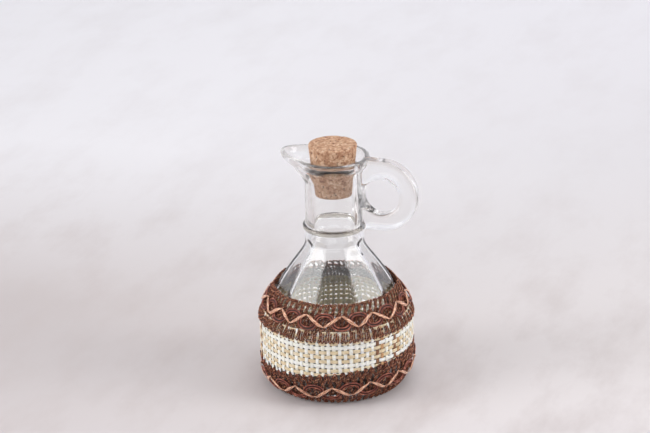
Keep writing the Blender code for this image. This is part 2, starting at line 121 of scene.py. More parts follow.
# Painted shade: a dark tint on the collar that stands in for its dark refraction, with the ranges where it
# fades in and out
COLLAR_PAINTED_SHADE = (0.32, 0.29, 0.23, 1.0)
COLLAR_SHADE_START = (NECK_RADIUS + 0.0004, NECK_RADIUS + 0.0009)
COLLAR_SHADE_END = (COLLAR_RADIUS + 0.0002, COLLAR_RADIUS + 0.0006)
COLLAR_SHADE_HALF = (COLLAR_HALF - 0.0001, COLLAR_HALF + 0.0002)

# Cork
CORK_BOTTOM = 0.1085
CORK_TOP = 0.1368
CORK_SEAT_RADIUS = 0.0117
CORK_TAPER = 0.106
CORK_EDGE = 0.0008
CORK_ROWS = 170
CORK_SIDES = 200
CORK_PITS = 170

# Straw band
GLUE_GAP = 0.0003
BAND_BOTTOM = 0.0192
BAND_TOP = 0.0382
WEFT_ROWS = 10
WEFT_PITCH = 0.00264
WEFT_WIDTH = 0.00208
WEFT_TOP = 0.04428
WARPS = 86
WARP_WIDTH = 0.00190
STRIP_THICKNESS = 0.00030
WEAVE_RADIUS = 0.04192
WEAVE_DEPTH = 0.00024
WARP_TOP = 0.0440
WARP_STEP = 0.00044
WARP_LEAN = 0.0012
CREASE_HALF = 0.00022
CREASE_DEPTH = 0.00008
TAPER = 0.02
GLUED_SIDE = 0.44
GLUED_TONES = ((212, 186, 138), (234, 214, 168), (246, 232, 196))
STRAW_TONES = {
    "straw_white": ((226, 221, 205), (244, 241, 229), (253, 251, 243)),
    "straw_beige": ((198, 174, 138), (223, 202, 168), (238, 223, 196)),
    "straw_brown": ((92, 58, 38), (124, 84, 56), (158, 116, 82)),
    "straw_tan": ((150, 108, 72), (186, 144, 102), (210, 174, 132)),
}
WEFT_COLOURS = (1, 1, 1, 0, 1, 1, 1, 0, 1, 1)
TINTED_WARPS = {-42.0: 2, -38.0: 3, -25.0: 2, -21.0: 3, -152.0: 2, -156.0: 3}

# Braid trims
SCROLLS = 13
UPPER_TRIM_WIDTH = 0.0200
UPPER_THICKNESS = 0.0020
UPPER_PATTERN = (math.radians(14.0), -0.0001)
LOWER_THICKNESS = 0.0013
LOWER_PATTERN = (math.radians(5.5), 0.0003)
LOWER_TRIM_START = 0.0048
LOWER_TILT = 0.0042
LOWER_DROP = 0.0032
LOWER_TILT_ANGLE = math.radians(10)
LOWER_PATTERN_TILT = 0.70
LOOPS = 62
PLY_RADIUS = 0.00023
PLY_REACH = 0.00021
YARN_RADIUS = PLY_RADIUS + PLY_REACH
LOWEST_YARN = YARN_RADIUS * 1.2
NEAREST_YARN = YARN_RADIUS * 1.25
YARN_LAY = 0.0023
LOOP_HALF = 0.00053
LOOP_WAIST = 0.62
LOOP_PINCH = 0.08
LOOP_OPENING = 0.38
LOOP_WAVER = {"upper": 0.00016, "lower": 0.00034}
LOOP_SINK = 0.00035
SINK_RANGE = (0.40, 0.25)
SECOND_SINK = 0.00022
EDGE_LIFT = 0.00015
EDGE_RANGE = (0.70, 0.12)
EDGES_OUT = {"upper": (0.0002, -0.0008), "lower": (0.0002, 0.0004)}
ARCH_BEND = 75.0
PAIRING = {"upper": (0.00090, 0.00036), "lower": (0.00010, 0.00010)}
PAIRING_START = (0.015, 0.06)
PAIRING_REACH = {"upper": 0.28, "lower": 0.20}
PAIRING_FADE = 0.08
SLANT_SPAN = 0.45
SLANT = {"upper": (0.0024, 0.0024, -0.0006, -0.0006), "lower": (0.0030, -0.0030, 0.0008, -0.0008)}
FRINGE_LEGS = {"upper": 260, "lower": 300}
FRINGE_WAVER = 0.00042
FRINGE_OFFSET = YARN_RADIUS + 0.0001
FRINGE_ROUGHNESS = 0.00012
FRINGE_SIZE = 0.92
FRINGE_SPANS = {"upper": (0.31, 0.69), "lower": (0.06, 0.97)}
CORD_DIAMETER = 0.00070
CORD_SPACING = 0.0014
CORD_LIFT = 0.0002
# The dark strip under the cords' gap is painted shadow
SHADOW_STRIP_LIFT = 0.00015
SHADOW_STRIP_THICKNESS = 0.00025
CORD_SWING = 0.0038
CORD_ROUNDNESS = 0.45
CORD_STEPS = 36
RIBBON_SWING = 0.0031
RIBBON_MIDDLE = 0.0021
RIBBON_FOLD = 0.0005
RIBBON_THICKNESS = 0.00022
RIBBON_LIFT = 0.0003
RIBBON_CROWN = 0.00032
RIBBON_SKEW = 45.0
# Yarn tones, darkest to palest: the palest are painted glints at random spots, and the darkest also paints
# the shade in the grooves
YARN_TONES = {
    "brown_pale_ply": ((88, 37, 21), (178, 98, 63), (230, 158, 115), (255, 226, 196)),
    "brown_dark_ply": ((30, 10, 6), (87, 34, 18), (130, 60, 35), (200, 126, 86)),
    "plum_pale_ply": ((62, 30, 24), (124, 74, 60), (166, 116, 100), (236, 208, 194)),
    "plum_dark_ply": ((30, 10, 7), (70, 34, 26), (100, 56, 44), (156, 110, 94)),
}
GIMP_TONES = {
    "gimp_cord_silk": ((88, 38, 27), (138, 69, 52), (196, 124, 100)),
    "gimp_painted_shadow": ((26, 10, 8), (38, 16, 12), (58, 28, 22)),
}

# Floor, backdrop and world
FLOOR_HALF_WIDTH = 14.0
BACKDROP_START = 3.0
BACKDROP_ROUNDING = 1.2
BACKDROP_TOP = 5.0
WORLD_TINTS = ((0.62, 0.62, 0.64, 1.0), (0.95, 0.95, 0.97, 1.0))
WORLD_LIGHT = 0.56
WORLD_SEEN = 0.90

# Light panels: azimuth from the camera, elevation, distance, size and strength
LIGHT_AIM = Vector((0.0, 0.0, 0.06))
PANELS = {
    "side_left": (-76.0, 22.0, 1.1, (0.52, 1.15), 4.3),
    "side_right": (76.0, 22.0, 1.1, (0.52, 1.15), 4.3),
    "front": (-20.0, 8.0, 1.3, (1.2, 0.36), 1.7),
    "above": (150.0, 74.0, 1.5, (1.2, 1.0), 1.7),
}

# Camera, read off the photograph
VIEW_AZIMUTH = math.radians(17.0)
VIEW_PITCH = math.radians(22.6)
VIEW_ROLL = math.radians(-1.3)
VIEW_DISTANCE = 1.480
VIEW_TARGET = Vector((0.0, 0.0, 0.065))
LENS = 150.0
SENSOR = 36.0
FRAME_WIDTH = 650
FRAME_OFFSET = (10.3, 50.5)


def linked(name, data):
    """A new object in the scene."""
    made = bpy.data.objects.new(name, data)
    bpy.context.scene.collection.objects.link(made)
    return made


def direction(azimuth, elevation):
    """The unit vector at an azimuth, rightwards from the front, and an elevation."""
    level = math.cos(elevation)
    return Vector((math.sin(azimuth) * level, -math.cos(azimuth) * level, math.sin(elevation)))


def make_camera():
    """The camera at the photograph's angle, turned a little off the jug so that it isn't centred."""
    back = direction(VIEW_AZIMUTH, VIEW_PITCH)
    right = (-back).cross(Vector((0, 0, 1))).normalized()
    up = right.cross(-back)
    rolled_right = math.cos(VIEW_ROLL) * right + math.sin(VIEW_ROLL) * up
    rolled_up = -math.sin(VIEW_ROLL) * right + math.cos(VIEW_ROLL) * up
    pixel = SENSOR / LENS / FRAME_WIDTH
    ahead = -back + rolled_up * (FRAME_OFFSET[1] * pixel) - rolled_right * (FRAME_OFFSET[0] * pixel)
    ahead.normalize()
    side = (rolled_right - rolled_right.dot(ahead) * ahead).normalized()
    top = side.cross(ahead)
    data = bpy.data.cameras.new("photo_camera")
    data.lens = LENS
    data.sensor_width = SENSOR
    data.clip_start = 0.05
    data.clip_end = 30.0
    camera = linked("photo_camera", data)
    axes = Matrix((side, top, -ahead)).transposed().to_4x4()
    camera.matrix_world = Matrix.Translation(VIEW_TARGET + VIEW_DISTANCE * back) @ axes
    bpy.context.scene.camera = camera


# Meshes

def add_mesh(name, materials, points, faces, uvs=None, slots=None):
    """An object from arrays: points (n, 3), faces (m, k), uvs (m, k, 2), one material slot for each face."""
    mesh = bpy.data.meshes.new(name)
    faces = np.asarray(faces)
    count, corners = faces.shape
    mesh.vertices.add(len(points))
    mesh.vertices.foreach_set("co", np.asarray(points, np.float32).ravel())
    mesh.loops.add(count * corners)
    mesh.loops.foreach_set("vertex_index", faces.astype(np.int32).ravel())
    mesh.polygons.add(count)
    mesh.polygons.foreach_set("loop_start", np.arange(count, dtype=np.int32) * corners)
    mesh.polygons.foreach_set("use_smooth", np.ones(count, bool))
    for material in materials:
        mesh.materials.append(material)
    if slots is not None:
        mesh.polygons.foreach_set("material_index", np.asarray(slots, np.int32))
    if uvs is not None:
        layer = mesh.uv_layers.new(name="along")
        layer.data.foreach_set("uv", np.asarray(uvs, np.float32).ravel())
    mesh.update(calc_edges=True)
    mesh.validate()
    return linked(name, mesh)


def joined(parts):
    """Several (points, faces, uvs, slot) put together as the last arguments of add_mesh."""
    points, faces, uvs, slots = [], [], [], []
    offset = 0
    for part_points, part_faces, part_uvs, slot in parts:
        points.append(part_points)
        faces.append(part_faces + offset)
        uvs.append(part_uvs)
        slots.append(np.full(len(part_faces), slot))
        offset += len(part_points)
    return np.concatenate(points), np.concatenate(faces), np.concatenate(uvs), np.concatenate(slots)


def unit(vectors):
    """Rows scaled to length one."""
    return vectors / np.maximum(np.linalg.norm(vectors, axis=-1, keepdims=True), 1e-12)


def tube_faces(count, sides, closed):
    """The quads of a tube of count rings, and each quad's ring and side."""
    i, j = np.meshgrid(np.arange(count if closed else count - 1), np.arange(sides), indexing="ij")
    i2, j2 = (i + 1) % count, (j + 1) % sides
    return np.stack([i * sides + j, i * sides + j2, i2 * sides + j2, i2 * sides + j], axis=-1), i, j


def swept(path, out, section, closed, slot=0):
    """A tube along path. out is the surface's normal. section (n, s, 2) has outward and sideways offsets."""
    if closed:
        ahead = np.roll(path, -1, axis=0) - np.roll(path, 1, axis=0)
    else:
        ahead = np.gradient(path, axis=0)
    ahead = unit(ahead)
    out = unit(out - (out * ahead).sum(1, keepdims=True) * ahead)
    aside = np.cross(ahead, out)
    count, sides = section.shape[:2]
    points = path[:, None] + section[..., :1] * out[:, None] + section[..., 1:] * aside[:, None]
    faces, i, j = tube_faces(count, sides, closed)
    lengths = np.linalg.norm(np.roll(path, -1, axis=0) - path, axis=1)
    start = np.concatenate([[0.0], np.cumsum(lengths)])[:count]
    u, u2 = start[i], (start + lengths)[i]
    v, v2 = j / sides, (j + 1) / sides
    uvs = np.stack([np.stack(corner, -1) for corner in ((u, v), (u, v2), (u2, v2), (u2, v))], -2)
    return points.reshape(-1, 3), faces.reshape(-1, 4), uvs.reshape(-1, 4, 2), slot


def ring_section(count, sides, out, aside, turn=0.0, squareness=1.0):
    """Sections of a tube with half sizes out and aside. squareness below 1 makes them boxier."""
    around = TURN * np.arange(sides)[None] / sides + np.zeros((count, 1)) + turn
    cosine, sine = np.cos(around), np.sin(around)
    across = np.sign(cosine) * np.abs(cosine) ** squareness
    along = np.sign(sine) * np.abs(sine) ** squareness
    return np.stack([out * across, aside * along], axis=-1)


def turned(radius, angle, height):
    """Points at a radius, an angle round the axis and a height."""
    return np.stack([radius * np.cos(angle), radius * np.sin(angle), height + 0 * angle], axis=-1)


def fade(value, start, length):
    """0 up to start and 1 from start + length on. A negative length runs the other way."""
    return np.clip((value - start) / length, 0, 1)


# Lines of the jug

def bezier(start, start_handle, end_handle, end, count=80):
    """Points of a Bezier stretch, each (radius, height)."""
    t = np.linspace(0, 1, count)[:, None]
    corners = [np.array(corner) for corner in (start, start_handle, end_handle, end)]
    weights = ((1 - t) ** 3, 3 * t * (1 - t) ** 2, 3 * t ** 2 * (1 - t), t ** 3)
    return sum(weight * corner for weight, corner in zip(weights, corners))


def body_line():
    """The jug's outside from the base's edge up to the neck's root."""
    turn = np.linspace(0, 0.5 * math.pi, 80)
    heel = np.stack(
        [
            BASE_RADIUS + (BODY_RADIUS - BASE_RADIUS) * np.sin(turn) ** (2 / HEEL_POWER),
            HEEL_HEIGHT * (1 - np.maximum(np.cos(turn), 0) ** (2 / HEEL_POWER)),
        ],
        axis=1,
    )
    tangent = LOWER_STRAIGHTNESS * SHOULDER_LOWER_RISE
    hip = bezier(
        (BODY_RADIUS, WALL_TOP),
        (BODY_RADIUS, WALL_TOP + HIP_FULLNESS * SHOULDER_LOWER_RISE),
        (SHOULDER_RADIUS + SHOULDER_SLOPE * tangent, SHOULDER_MIDDLE - tangent),
        (SHOULDER_RADIUS, SHOULDER_MIDDLE),
    )
    reach = UPPER_STRAIGHTNESS * SHOULDER_UPPER_RISE
    root = bezier(
        (SHOULDER_RADIUS, SHOULDER_MIDDLE),
        (SHOULDER_RADIUS - SHOULDER_SLOPE * reach, SHOULDER_MIDDLE + reach),
        (ROOT_RADIUS, ROOT_HEIGHT - ROOT_FULLNESS * SHOULDER_UPPER_RISE),
        (ROOT_RADIUS, ROOT_HEIGHT),
    )
    return np.concatenate([heel, hip, root[1:]])


BODY = body_line()


class Table:
    """A radius that depends on height, read at even steps, with the slope's cosine."""

    def __init__(self, line, blur):
        self.heights = np.linspace(line[0, 1], line[-1, 1], 4000)
        radii = np.interp(self.heights, line[:, 1], line[:, 0])
        padded = np.concatenate([np.full(blur, radii[0]), radii, np.full(blur, radii[-1])])
        weights = np.hanning(2 * blur + 1)
        smooth = np.convolve(padded, weights / weights.sum(), "same")
        share = fade(self.heights, HEEL_HEIGHT, 0.004)
        self.radii = radii + share * (smooth[blur:-blur] - radii)
        self.cosines = 1 / np.sqrt(1 + np.gradient(self.radii, self.heights) ** 2)

    def radius(self, height):
        return np.interp(height, self.heights, self.radii)

    def cosine(self, height):
        return np.interp(height, self.heights, self.cosines)


def outer_table():
    """The outside's corner radius at every height, without the collar and the handle."""
    flare = bezier(
        (NECK_RADIUS + LIP_STEP, FLARE_BOTTOM),
        (NECK_RADIUS + 0.45 * (RIM_RADIUS - NECK_RADIUS), FLARE_BOTTOM + 0.25 * FLARE_LENGTH),
        (RIM_RADIUS, RIM_HEIGHT - 0.5 * FLARE_LENGTH),
        (RIM_RADIUS, RIM_HEIGHT),
    )
    neck = [
        (ROOT_RADIUS, COLLAR_MIDDLE),
        (NECK_RADIUS + LIP_STEP, COLLAR_MIDDLE + NECK_FOOT_RISE),
        (NECK_RADIUS, NECK_FOOT_TOP),
        (NECK_RADIUS, FLARE_BOTTOM - LIP_STEP),
    ]
    return Table(np.concatenate([BODY, neck, flare]), blur=14)


def inner_table():
    """The cavity's radius at every height."""
    inner = BODY_RADIUS - WALL_THICKNESS
    heel = bezier(
        (FLOOR_RADIUS, FLOOR_HEIGHT),
        (inner, FLOOR_HEIGHT),
        (inner, FLOOR_HEIGHT + 0.3 * (CAVITY_HEEL_TOP - FLOOR_HEIGHT)),
        (inner, CAVITY_HEEL_TOP),
    )
    above = BODY[(BODY[:, 1] > WALL_TOP) & (BODY[:, 1] < ROOT_HEIGHT)]
    radii = np.maximum(above[:, 0] - WALL_THICKNESS, BORE_RADIUS)
    shoulder = np.stack([radii, above[:, 1]], axis=1)
    funnel_foot = RIM_HEIGHT - FUNNEL_DEPTH
    mouth = bezier(
        (BORE_RADIUS, funnel_foot),
        (BORE_RADIUS + 0.3 * (MOUTH_RADIUS - BORE_RADIUS), funnel_foot + 0.22 * FUNNEL_DEPTH),
        (MOUTH_RADIUS - 0.28 * (MOUTH_RADIUS - BORE_RADIUS), RIM_HEIGHT - 0.30 * FUNNEL_DEPTH),
        (MOUTH_RADIUS, RIM_HEIGHT),
    )
    bore = [(BORE_RADIUS, COLLAR_MIDDLE), (BORE_RADIUS, 0.5 * (COLLAR_MIDDLE + FLARE_BOTTOM))]
    return Table(np.concatenate([heel, [(inner, WALL_TOP)], shoulder, bore, mouth]), blur=30)


OUTER = outer_table()
INNER = inner_table()


def rounded_max(a, b, radius):
    """The larger of two distances, with the edge between them rounded."""
    corner = np.hypot(np.maximum(a + radius, 0), np.maximum(b + radius, 0))
    return np.minimum(np.maximum(a, b), -radius) + corner


def smooth_min(a, b, reach):
    """The smaller of two distances, with a fillet between them."""
    share = np.maximum(reach - np.abs(a - b), 0) / reach
    return np.minimum(a, b) - 0.25 * reach * share ** 2


def from_flat(angle):
    """The angle from the middle of the nearest flat."""
    step = TURN / FACETS
    return (angle + 0.5 * step) % step - 0.5 * step


def facet_factor(height):
    """The flats' sharp corner radius over the rounded one."""
    return np.interp(
        height,
        [BAND_TOP, BAND_TOP + FACET_RUN_OUT, ROOT_HEIGHT, ROOT_HEIGHT + FACET_END],
        [FACET_CLEAR, FACET_CORNER, FACET_CORNER, FACET_CLEAR],
    )


def undrawn(x, y, z):
    """(radius, height) of a point before the spout was drawn out."""
    radius = np.hypot(x, y)
    share = np.exp(-((np.arctan2(y, -x) / SPOUT_HALF_ANGLE) ** 2))
    before, height = radius, z
    for _ in range(7):
        depth = np.clip((RIM_HEIGHT - height) / SPOUT_LENGTH, 0, 1)
        pull = share * (1 - depth ** SPOUT_POWER) * np.minimum(before / BORE_RADIUS, 1)
        before = np.maximum(radius - SPOUT_REACH * pull, 0)
        height = z - SPOUT_RISE * pull
    return before, height


def jug_distance(points):
    """About the distance to the jug's surface, negative inside the glass."""
    x, y, z = points[..., 0], points[..., 1], points[..., 2]
    radius, height = undrawn(x, y, z)
    around = np.arctan2(y, x)
    body = OUTER.radius(height)
    flat = radius * np.cos(from_flat(around)) - body * facet_factor(height) * FACET_FLAT
    outside = -smooth_min(body - radius, -flat, FACET_EDGE) * OUTER.cosine(height)
    collar_up = np.abs(height - COLLAR_MIDDLE) - COLLAR_HALF
    collar = rounded_max(radius - COLLAR_RADIUS, collar_up, COLLAR_BEAD)
    outside = smooth_min(outside, collar, COLLAR_FILLET)
    ring = np.hypot(np.maximum(x - HANDLE_MIDDLE[0], 0), z - HANDLE_MIDDLE[1]) - HANDLE_RADIUS
    hole = HOLE_RADIUS - np.hypot(x - HANDLE_MIDDLE[0], z - HOLE_HEIGHT)
    flat_ring = np.maximum(np.maximum(ring, hole), HANDLE_INNER_END - x)
    handle = rounded_max(flat_ring, np.abs(y) - HANDLE_HALF_THICKNESS, HANDLE_ROUNDING)
    outside = smooth_min(outside, handle, HANDLE_FILLET)
    outside = rounded_max(outside, height - RIM_HEIGHT, RIM_ROUNDING)
    outside = np.maximum(outside, -z)
    ripple = FLOOR_RIPPLE * np.cos(TURN * radius / FLOOR_RIPPLE_PITCH) * (radius < FLOOR_RIPPLE_REACH)
    waver = WALL_WAVER * np.sin(3 * around + 140 * z) + 0.7 * WALL_WAVER * np.sin(5 * around - 90 * z + 1)
    wall = rounded_max(radius - INNER.radius(height), flat + WALL_THICKNESS, INNER_CORNER) - waver
    wall *= INNER.cosine(height)
    cavity = np.maximum(wall, FLOOR_HEIGHT + ripple - z)
    return rounded_max(outside, -cavity, MOUTH_EDGE)


def slope_of(distance, points, step=0.00012):
    """The gradient of a distance at some points."""
    slopes = []
    for axis in range(3):
        shift = np.zeros(3)
        shift[axis] = step
        slopes.append((distance(points + shift) - distance(points - shift)) / (2 * step))
    return np.stack(slopes, axis=-1)


def summed(index, rows, count):
    """Rows of three numbers, added up where they have the same index."""
    return np.stack([np.bincount(index, weights=rows[:, k], minlength=count) for k in range(3)], axis=1)


def surface_net(distance, low, high, step):
    """Points and quads of the surface where distance is zero."""
    axes = [np.arange(a, b, step) for a, b in zip(low, high)]
    shape = tuple(len(axis) for axis in axes)
    values = np.empty(shape)
    for i, x in enumerate(axes[0]):
        y, z = np.meshgrid(axes[1], axes[2], indexing="ij")
        values[i] = distance(np.stack([np.full_like(y, x), y, z], axis=-1))
    inside = values < 0
    cells = int(np.prod(shape))
    total = np.zeros((cells, 3))
    count = np.zeros(cells)
    quads = []
    for axis in range(3):
        near = [slice(None)] * 3
        far = [slice(None)] * 3
        near[axis] = slice(0, -1)
        far[axis] = slice(1, None)
        near, far = tuple(near), tuple(far)
        crossing = np.nonzero(inside[near] != inside[far])
        grid = np.stack(crossing, axis=1)
        first = values[near][crossing]
        second = values[far][crossing]
        place = grid.astype(float)
        place[:, axis] += first / (first - second)
        across = [(axis + 1) % 3, (axis + 2) % 3]
        corners = []
        for a, b in ((-1, -1), (0, -1), (0, 0), (-1, 0)):
            cell = grid.copy()
            cell[:, across[0]] += a
            cell[:, across[1]] += b
            index = np.ravel_multi_index(tuple(cell.T), shape)
            corners.append(index)
            count += np.bincount(index, minlength=cells)
            total += summed(index, place, cells)
        quad = np.stack(corners, axis=1)
        outward = inside[near][crossing]
        quads.append(np.where(outward[:, None], quad, quad[:, ::-1]))
    used = np.nonzero(count)[0]
    points = np.array(low) + total[used] / count[used, None] * step
    renumbered = np.full(cells, -1)
    renumbered[used] = np.arange(len(used))
    return points, renumbered[np.concatenate(quads)]


def settle(distance, points, faces, rounds=3):
    """Evens the points out along the surface and draws them onto it."""
    ends = np.stack([faces, np.roll(faces, -1, axis=1)], axis=-1).reshape(-1, 2)
    neighbours = np.maximum(np.bincount(ends[:, 0], minlength=len(points)), 1)[:, None]
    for i in range(rounds + 1):
        if i:
            total = summed(ends[:, 0], points[ends[:, 1]], len(points))
            points = 0.5 * (points + total / neighbours)
        for _ in range(2):
            slope = slope_of(distance, points)
            size = np.maximum((slope ** 2).sum(1), 0.05)
            move = -(distance(points) / size)[:, None] * slope
            length = np.linalg.norm(move, axis=1, keepdims=True)
            points = points + move * np.minimum(1, 0.5 * GRID_STEP / np.maximum(length, 1e-9))
    return points


# Materials

class Nodes:
    """Adds nodes to a new material or world, in front of the shader that it starts with."""

    def __init__(self, name, world=False):
        self.owner = (bpy.data.worlds if world else bpy.data.materials).new(name)
        self.owner.use_nodes = True
        self.tree = self.owner.node_tree
        self.shader = self.tree.nodes["Background" if world else "Principled BSDF"]

    def add(self, kind, **values):
        """A node, with its properties set and its inputs set or linked. Names with a capital are inputs."""
        node = self.tree.nodes.new(kind)
        for key, value in values.items():
            if key[0].isupper():
                self.put(node.inputs[key.replace("_", " ")], value)
            else:
                setattr(node, key, value)
        return node

    def put(self, socket, value):
        """Links a node's output to a socket, or sets the socket."""
        if isinstance(value, bpy.types.NodeSocket):
            self.tree.links.new(value, socket)
        else:
            socket.default_value = value

    def place(self, source="Object", scale=(1.0, 1.0, 1.0)):
        """Coordinates, scaled."""
        coordinates = self.add("ShaderNodeTexCoord")
        mapping = self.add("ShaderNodeMapping", Vector=coordinates.outputs[source], Scale=scale)
        return mapping.outputs["Vector"]

    def split(self, source):
        """The three parts of a coordinate."""
        coordinates = self.add("ShaderNodeTexCoord")
        return self.add("ShaderNodeSeparateXYZ", Vector=coordinates.outputs[source]).outputs

    def noise(self, vector, scale, detail=3.0, roughness=0.55):
        made = self.add("ShaderNodeTexNoise", Vector=vector, Scale=scale, Detail=detail, Roughness=roughness)
        return made.outputs["Fac"]

    def ramp(self, factor, places, colours):
        """A colour ramp. A colour of three numbers has display values, and one of four is linear."""
        made = self.add("ShaderNodeValToRGB", Fac=factor)
        elements = made.color_ramp.elements
        while len(elements) < len(places):
            elements.new(0.5)
        for element, place, colour in zip(elements, places, colours):
            element.position = place
            element.color = colour if len(colour) == 4 else shade(*colour)
        return made.outputs["Color"]

    def mix(self, factor, first, second):
        made = self.add("ShaderNodeMix", data_type="RGBA")
        self.put(made.inputs[0], factor)
        self.put(made.inputs[6], first)
        self.put(made.inputs[7], second)
        return made.outputs[2]

    def math(self, operation, first, second=0.0):
        made = self.add("ShaderNodeMath", operation=operation)
        self.put(made.inputs[0], first)
        self.put(made.inputs[1], second)
        return made.outputs[0]

    def times(self, first, second):
        return self.math("MULTIPLY", first, second)

    def plus(self, first, second):
        return self.math("ADD", first, second)

    def minus(self, first, second):
        return self.math("SUBTRACT", first, second)

    def off(self, value, middle):
        """How far a value is from a middle."""
        return self.math("ABSOLUTE", self.minus(value, middle))

    def span(self, value, low, high, from_low=0.0, from_high=1.0):
        """A value mapped onto a range."""
        made = self.add("ShaderNodeMapRange", Value=value)
        limits = {"From Min": from_low, "From Max": from_high, "To Min": low, "To Max": high}
        for name, number in limits.items():
            made.inputs[name].default_value = number
        return made.outputs["Result"]

    def bump(self, height, distance, strength=1.0):
        made = self.add("ShaderNodeBump", Height=height, Distance=distance, Strength=strength)
        return made.outputs["Normal"]

    def finish(self, **inputs):
        """Sets or links the shader's inputs, and gives the material or world."""
        for key, value in inputs.items():
            self.put(self.shader.inputs[key.replace("_", " ")], value)
        return self.owner


def shade(red, green, blue):
    """A linear colour from display values of 0 to 255."""
    values = [value / 255 for value in (red, green, blue)]
    linear = [v / 12.92 if v <= 0.04045 else ((v + 0.055) / 1.055) ** 2.4 for v in values]
    return (*linear, 1.0)


def glass_material():
    """Clear moulded glass with a faintly wavy skin, a few smears, and painted shade on the collar that stands
    in for its dark refraction.
    """
    nodes = Nodes("moulded_glass")
    place = nodes.place()
    waves = nodes.noise(place, 75.0, detail=1.5)
    smears = nodes.noise(place, 210.0, detail=4.0)
    tint = nodes.ramp(nodes.noise(place, 18.0), (0.3, 0.7), GLASS_TINTS)
    split = nodes.split("Object")
    flat_place = nodes.add("ShaderNodeCombineXYZ", X=split["X"], Y=split["Y"])
    length = nodes.add("ShaderNodeVectorMath", operation="LENGTH")
    nodes.put(length.inputs[0], flat_place.outputs[0])
    radius = length.outputs["Value"]
    # Masks for the collar's painted shade, which stands in for its dark refraction
    bulge = nodes.span(radius, 0.0, 1.0, *COLLAR_SHADE_START)
    off_handle = nodes.span(radius, 1.0, 0.0, *COLLAR_SHADE_END)
    near = nodes.span(nodes.off(split["Z"], COLLAR_MIDDLE), 1.0, 0.0, *COLLAR_SHADE_HALF)
    return nodes.finish(
        Base_Color=nodes.mix(nodes.times(bulge, nodes.times(near, off_handle)), tint, COLLAR_PAINTED_SHADE),
        Roughness=nodes.span(smears, 0.0, 0.028, 0.45, 0.8),
        Normal=nodes.bump(waves, 0.00006, 0.2),
        Transmission_Weight=1.0,
        IOR=1.5,
    )


def cork_material():
    """Pressed cork grains: tan and orange cells, pale flakes, dark specks and small pits."""
    nodes = Nodes("pressed_cork")
    place = nodes.place()
    cells = nodes.add("ShaderNodeTexVoronoi", Vector=place, Scale=900.0)
    edges = nodes.add("ShaderNodeTexVoronoi", Vector=place, Scale=900.0, feature="DISTANCE_TO_EDGE")
    grain = nodes.noise(place, 1700.0, detail=4.0)
    broad = nodes.noise(place, 330.0, detail=3.0)
    level = nodes.plus(nodes.times(cells.outputs["Color"], 0.5), nodes.times(grain, 0.4))
    level = nodes.plus(level, nodes.times(nodes.minus(broad, 0.5), 0.7))
    tones = ((126, 79, 53), (184, 138, 107), (212, 176, 146), (240, 217, 193))
    base = nodes.ramp(level, (0.14, 0.34, 0.58, 0.86), tones)
    seams = nodes.span(edges.outputs["Distance"], 0.0, 1.0, 0.0, 0.09)
    colour = nodes.mix(nodes.times(nodes.minus(1.0, seams), 0.30), base, shade(130, 82, 56))
    marks = nodes.noise(nodes.place(scale=(1.0, 1.0, 0.7)), 620.0, detail=3.0, roughness=0.7)
    specks = nodes.span(marks, 0.0, 1.0, 0.615, 0.655)
    height = nodes.plus(nodes.minus(nodes.times(seams, 0.5), specks), nodes.times(grain, 0.6))
    return nodes.finish(
        Base_Color=nodes.mix(nodes.times(specks, 0.85), colour, shade(72, 40, 28)),
        Roughness=nodes.span(grain, 0.72, 0.95),
        Normal=nodes.bump(height, 0.00018, 0.7),
    )


def straw_material(name, tones):
    """A flat strip of plant fibre with fine lines along it, and an olive side towards the glass."""
    nodes = Nodes(name)
    lines = nodes.noise(nodes.place("UV", (90.0, 26.0, 1.0)), 1.0, detail=4.0, roughness=0.65)
    blotches = nodes.noise(nodes.place(), 260.0, detail=2.0)
    mixed = nodes.plus(nodes.times(lines, 0.6), nodes.times(blotches, 0.4))
    places = (0.34, 0.5, 0.66)
    glued = nodes.span(nodes.off(nodes.split("UV")["Y"], GLUED_SIDE), 1.0, 0.0, 0.07, 0.12)
    return nodes.finish(
        Base_Color=nodes.mix(glued, nodes.ramp(mixed, places, tones), nodes.ramp(mixed, places, GLUED_TONES)),
        Roughness=nodes.span(lines, 0.38, 0.62),
        Normal=nodes.bump(lines, 0.00006, 0.8),
        Subsurface_Weight=0.55,
        Subsurface_Radius=(1.0, 0.9, 0.65),
        Subsurface_Scale=0.0009,
    )


def yarn_material(name, tones):
    """Lustrous yarn: fine fibres, darker and paler stretches with painted glints at the palest, and painted
    shade in the grooves between the plies.
    """
    nodes = Nodes(name)
    fibres = nodes.noise(nodes.place("UV", (1100.0, 4.0, 1.0)), 1.0, detail=3.0, roughness=0.65)
    patches = nodes.noise(nodes.place(), 700.0, detail=3.0, roughness=0.65)
    level = nodes.plus(nodes.times(fibres, 0.5), nodes.times(patches, 0.5))
    # The ramp's palest stop paints glints along the yarn
    colour = nodes.ramp(level, (0.40, 0.48, 0.55, 0.63), tones)
    # Painted shade in the grooves: each ply darkens on its side towards the other ply
    groove_shade = nodes.span(nodes.off(nodes.split("UV")["Y"], 0.5), 0.85, 0.0, 0.16, 0.42)
    return nodes.finish(
        Base_Color=nodes.mix(groove_shade, colour, shade(*tones[0])),
        Roughness=nodes.span(fibres, 0.22, 0.5),
        Normal=nodes.bump(fibres, 0.00010, 0.9),
        Specular_IOR_Level=0.5,
    )


def gimp_material(name, tones):
    """Silk-wrapped cord, dark reddish brown, with the wrapping's fine turns."""
    nodes = Nodes(name)
    along = nodes.place("UV", (1.0, 0.00035, 1.0))
    turns = nodes.add("ShaderNodeTexWave", Vector=along, Scale=900.0, Distortion=0.6)
    patches = nodes.noise(nodes.place(), 420.0, detail=3.0)
    return nodes.finish(
        Base_Color=nodes.ramp(patches, (0.3, 0.52, 0.72), tones),
        Roughness=nodes.span(patches, 0.3, 0.5),
        Normal=nodes.bump(turns.outputs["Fac"], 0.00006, 0.8),
    )


